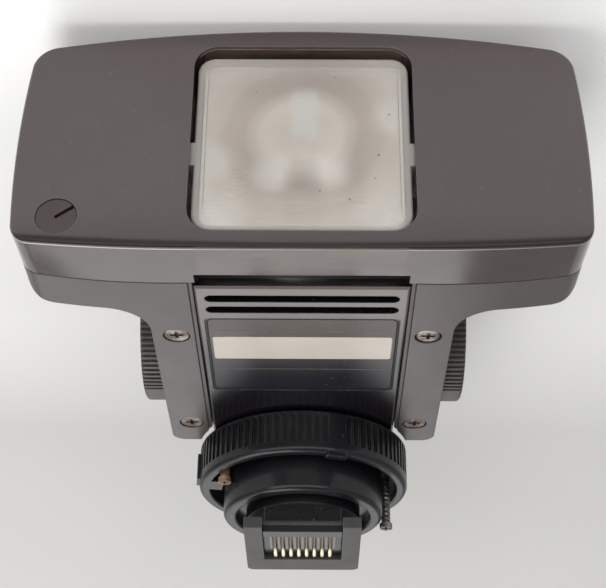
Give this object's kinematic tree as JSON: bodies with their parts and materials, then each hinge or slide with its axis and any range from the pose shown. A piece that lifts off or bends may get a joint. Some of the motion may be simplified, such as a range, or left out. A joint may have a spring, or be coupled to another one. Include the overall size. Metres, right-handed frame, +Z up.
{
  "type": "shoe-mounted infrared light",
  "caption": "Compact camcorder light with a wide head and recessed window that tilts on a base, with knurled side knobs, a knurled lock ring and an accessory-shoe foot with spring contacts.",
  "frame": {"origin": "centre of the shoe foot's underside, on the lock ring's axis", "axes": "+Z up from the shoe, -Y the way the window faces, +X to the left of someone facing the window"},
  "size_m": [0.0762, 0.084, 0.052],
  "materials": {
    "bezel_gloss": "polished",
    "housing_satin": "satin",
    "cover_satin": "satin",
    "base_satin": "semi-gloss",
    "plate_satin": "satin",
    "black_plastic": "fine matte",
    "knob_black": "fine matte",
    "foot_plastic": "satin",
    "contact_gold": "gold plated",
    "screw_nickel": "nickel plated",
    "axle_steel": "turned",
    "washer_fibre": "matte",
    "lens_frosted": "frosted",
    "reflector_mirror": "vacuum metallised",
    "bulb_glass": "clear",
    "ceramic": "matte",
    "bracket_steel": "plain",
    "board_green": "satin",
    "board_black": "matte"
  },
  "bodies": {
    "base": {"base_block": "base_satin", "base_cover": "base_satin", "rating_plate": "plate_satin", "driver_board": "board_green", "board_parts": "board_black", "shoe_collar": "black_plastic", "shoe_foot": "foot_plastic", "foot_screws": "screw_nickel", "contact_carrier": "black_plastic", "contact_springs": "contact_gold", "ring_screws": "screw_nickel", "tilt_axle": "axle_steel", "friction_washers": "washer_fibre"},
    "ring": {"lock_ring": "black_plastic"},
    "head": {"front_bezel": "bezel_gloss", "window_lens": "lens_frosted", "reflector": "reflector_mirror", "lamp_bulb": "bulb_glass", "lamp_base": "ceramic", "lamp_bracket": "bracket_steel", "upper_housing": "housing_satin", "left_cover": "cover_satin", "right_cover": "cover_satin", "cover_screws": "screw_nickel", "knob_washers": "washer_fibre"},
    "lock": {"bezel_lock": "knob_black"},
    "knob_left": {"left_knob": "knob_black"},
    "knob_right": {"right_knob": "knob_black"}
  },
  "joints": [
    {"name": "head_tilt", "type": "hinge", "parent": "base", "child": "head", "pos_m": [0, -0.02, 0.0305], "axis": [-1, 0, 0], "range_deg": [0, 60]},
    {"name": "ring_turn", "type": "hinge", "parent": "base", "child": "ring", "pos_m": [0, 0, 0.0135], "axis": [0, 0, -1], "range_deg": [0, 60]},
    {"name": "left_knob_turn", "type": "hinge", "parent": "head", "child": "knob_left", "pos_m": [-0.0232, -0.02, 0.0305], "axis": [-1, 0, 0], "range_deg": [0, 90]},
    {"name": "right_knob_turn", "type": "hinge", "parent": "head", "child": "knob_right", "pos_m": [0.0232, -0.02, 0.0305], "axis": [1, 0, 0], "range_deg": [0, 90]},
    {"name": "lock_turn", "type": "hinge", "parent": "head", "child": "lock", "pos_m": [-0.0315, -0.0665, 0.021], "axis": [0, -1, 0], "range_deg": [0, 90]}
  ]
}
